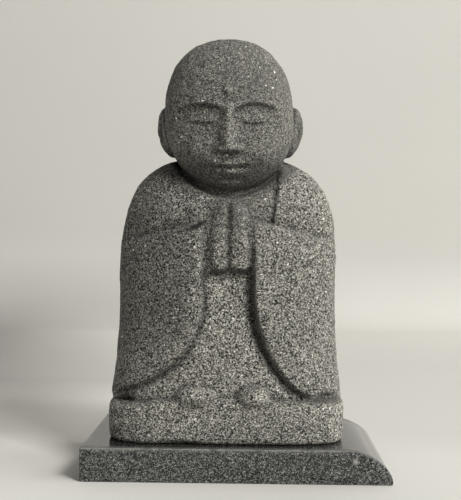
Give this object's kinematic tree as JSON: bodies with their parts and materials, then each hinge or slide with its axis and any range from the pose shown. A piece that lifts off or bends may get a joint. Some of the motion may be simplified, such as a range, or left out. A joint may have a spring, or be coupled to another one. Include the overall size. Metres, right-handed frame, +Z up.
{
  "type": "stone jizo statue",
  "caption": "Small carved stone jizo with shaven head and joined hands, cut with its own foot slab and set on a granite plinth with a rounded end.",
  "frame": {"origin": "middle of the plinth's underside, on the surface that it stands on", "axes": "+Z up, +X towards the plinth's rounded end, the figure faces -Y"},
  "size_m": [0.1836, 0.109, 0.2666],
  "materials": {
    "figure_stone": "picked, speckled grey-brown stone",
    "plinth_granite": "dark speckled granite, polished top, honed front"
  },
  "bodies": {
    "root": {"granite_plinth": "plinth_granite", "jizo_figure": "figure_stone"}
  },
  "joints": []
}
